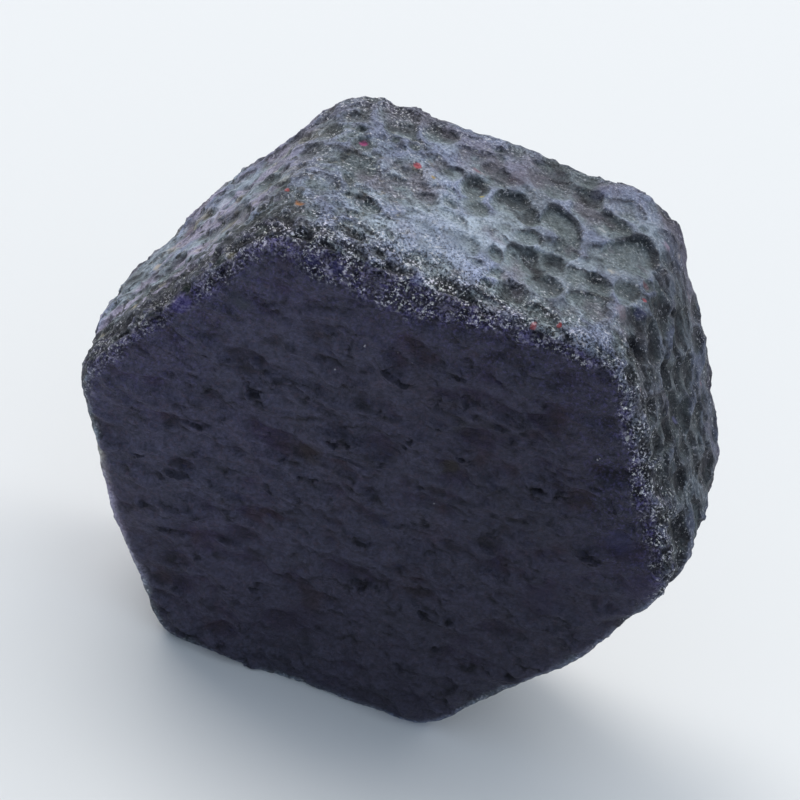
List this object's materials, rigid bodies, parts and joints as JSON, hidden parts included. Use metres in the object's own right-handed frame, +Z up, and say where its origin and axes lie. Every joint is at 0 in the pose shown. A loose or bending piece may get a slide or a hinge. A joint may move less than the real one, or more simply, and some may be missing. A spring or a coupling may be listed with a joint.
{
  "type": "rough sapphire crystal",
  "caption": "Rough corundum crystal, a short hexagonal prism with worn rounded edges and pitted dark violet-blue faces, lying on one prism face.",
  "frame": {"origin": "middle of the bounding box's footprint, on the plane that the resting prism face lies in", "axes": "+Z up, out of the upper prism face; -Y out of the front basal face, so the crystal's c-axis runs along Y; +X to the right seen from the front"},
  "size_m": [0.0318, 0.013, 0.0277],
  "materials": {
    "sapphire": "waxy matte, corroded and pitted, with fine glitter on the worn edges"
  },
  "bodies": {
    "root": {"sapphire_crystal": "sapphire"}
  },
  "joints": []
}
